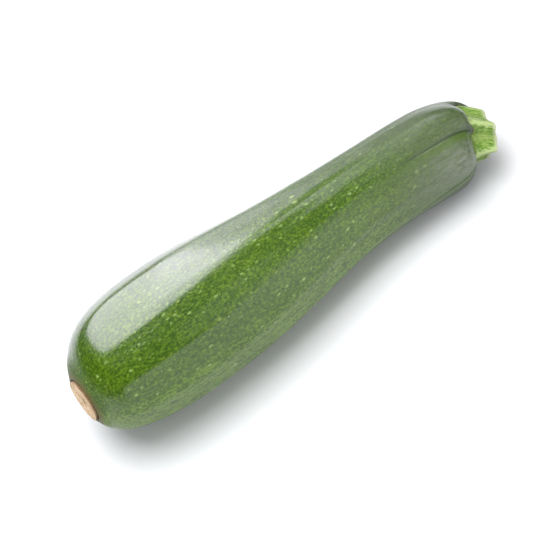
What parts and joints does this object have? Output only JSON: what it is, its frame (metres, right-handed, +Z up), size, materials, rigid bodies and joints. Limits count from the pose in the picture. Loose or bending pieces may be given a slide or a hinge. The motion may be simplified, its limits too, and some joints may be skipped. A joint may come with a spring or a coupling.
{
  "type": "zucchini",
  "caption": "Whole picked zucchini lying on its belly: ribbed club-shaped green fruit with a cut, angled stem stub and a corky blossom scar.",
  "frame": {"origin": "middle of the footprint's bounding box, on the surface that the zucchini lies on", "axes": "+X along the fruit from the blossom end to the stem, +Z up, -Y the side that the picture's camera sees"},
  "size_m": [0.1826, 0.0502, 0.0509],
  "materials": {
    "green_skin": "smooth waxy vegetable skin, satin, mottled green with pale flecks",
    "stem_green": "fibrous yellow-green stalk, satin, darker in the grooves",
    "cork": "dry corky scar tissue, matt"
  },
  "bodies": {
    "root": {"fruit": "green_skin", "stem": "stem_green", "blossom_scar": "cork"}
  },
  "joints": []
}
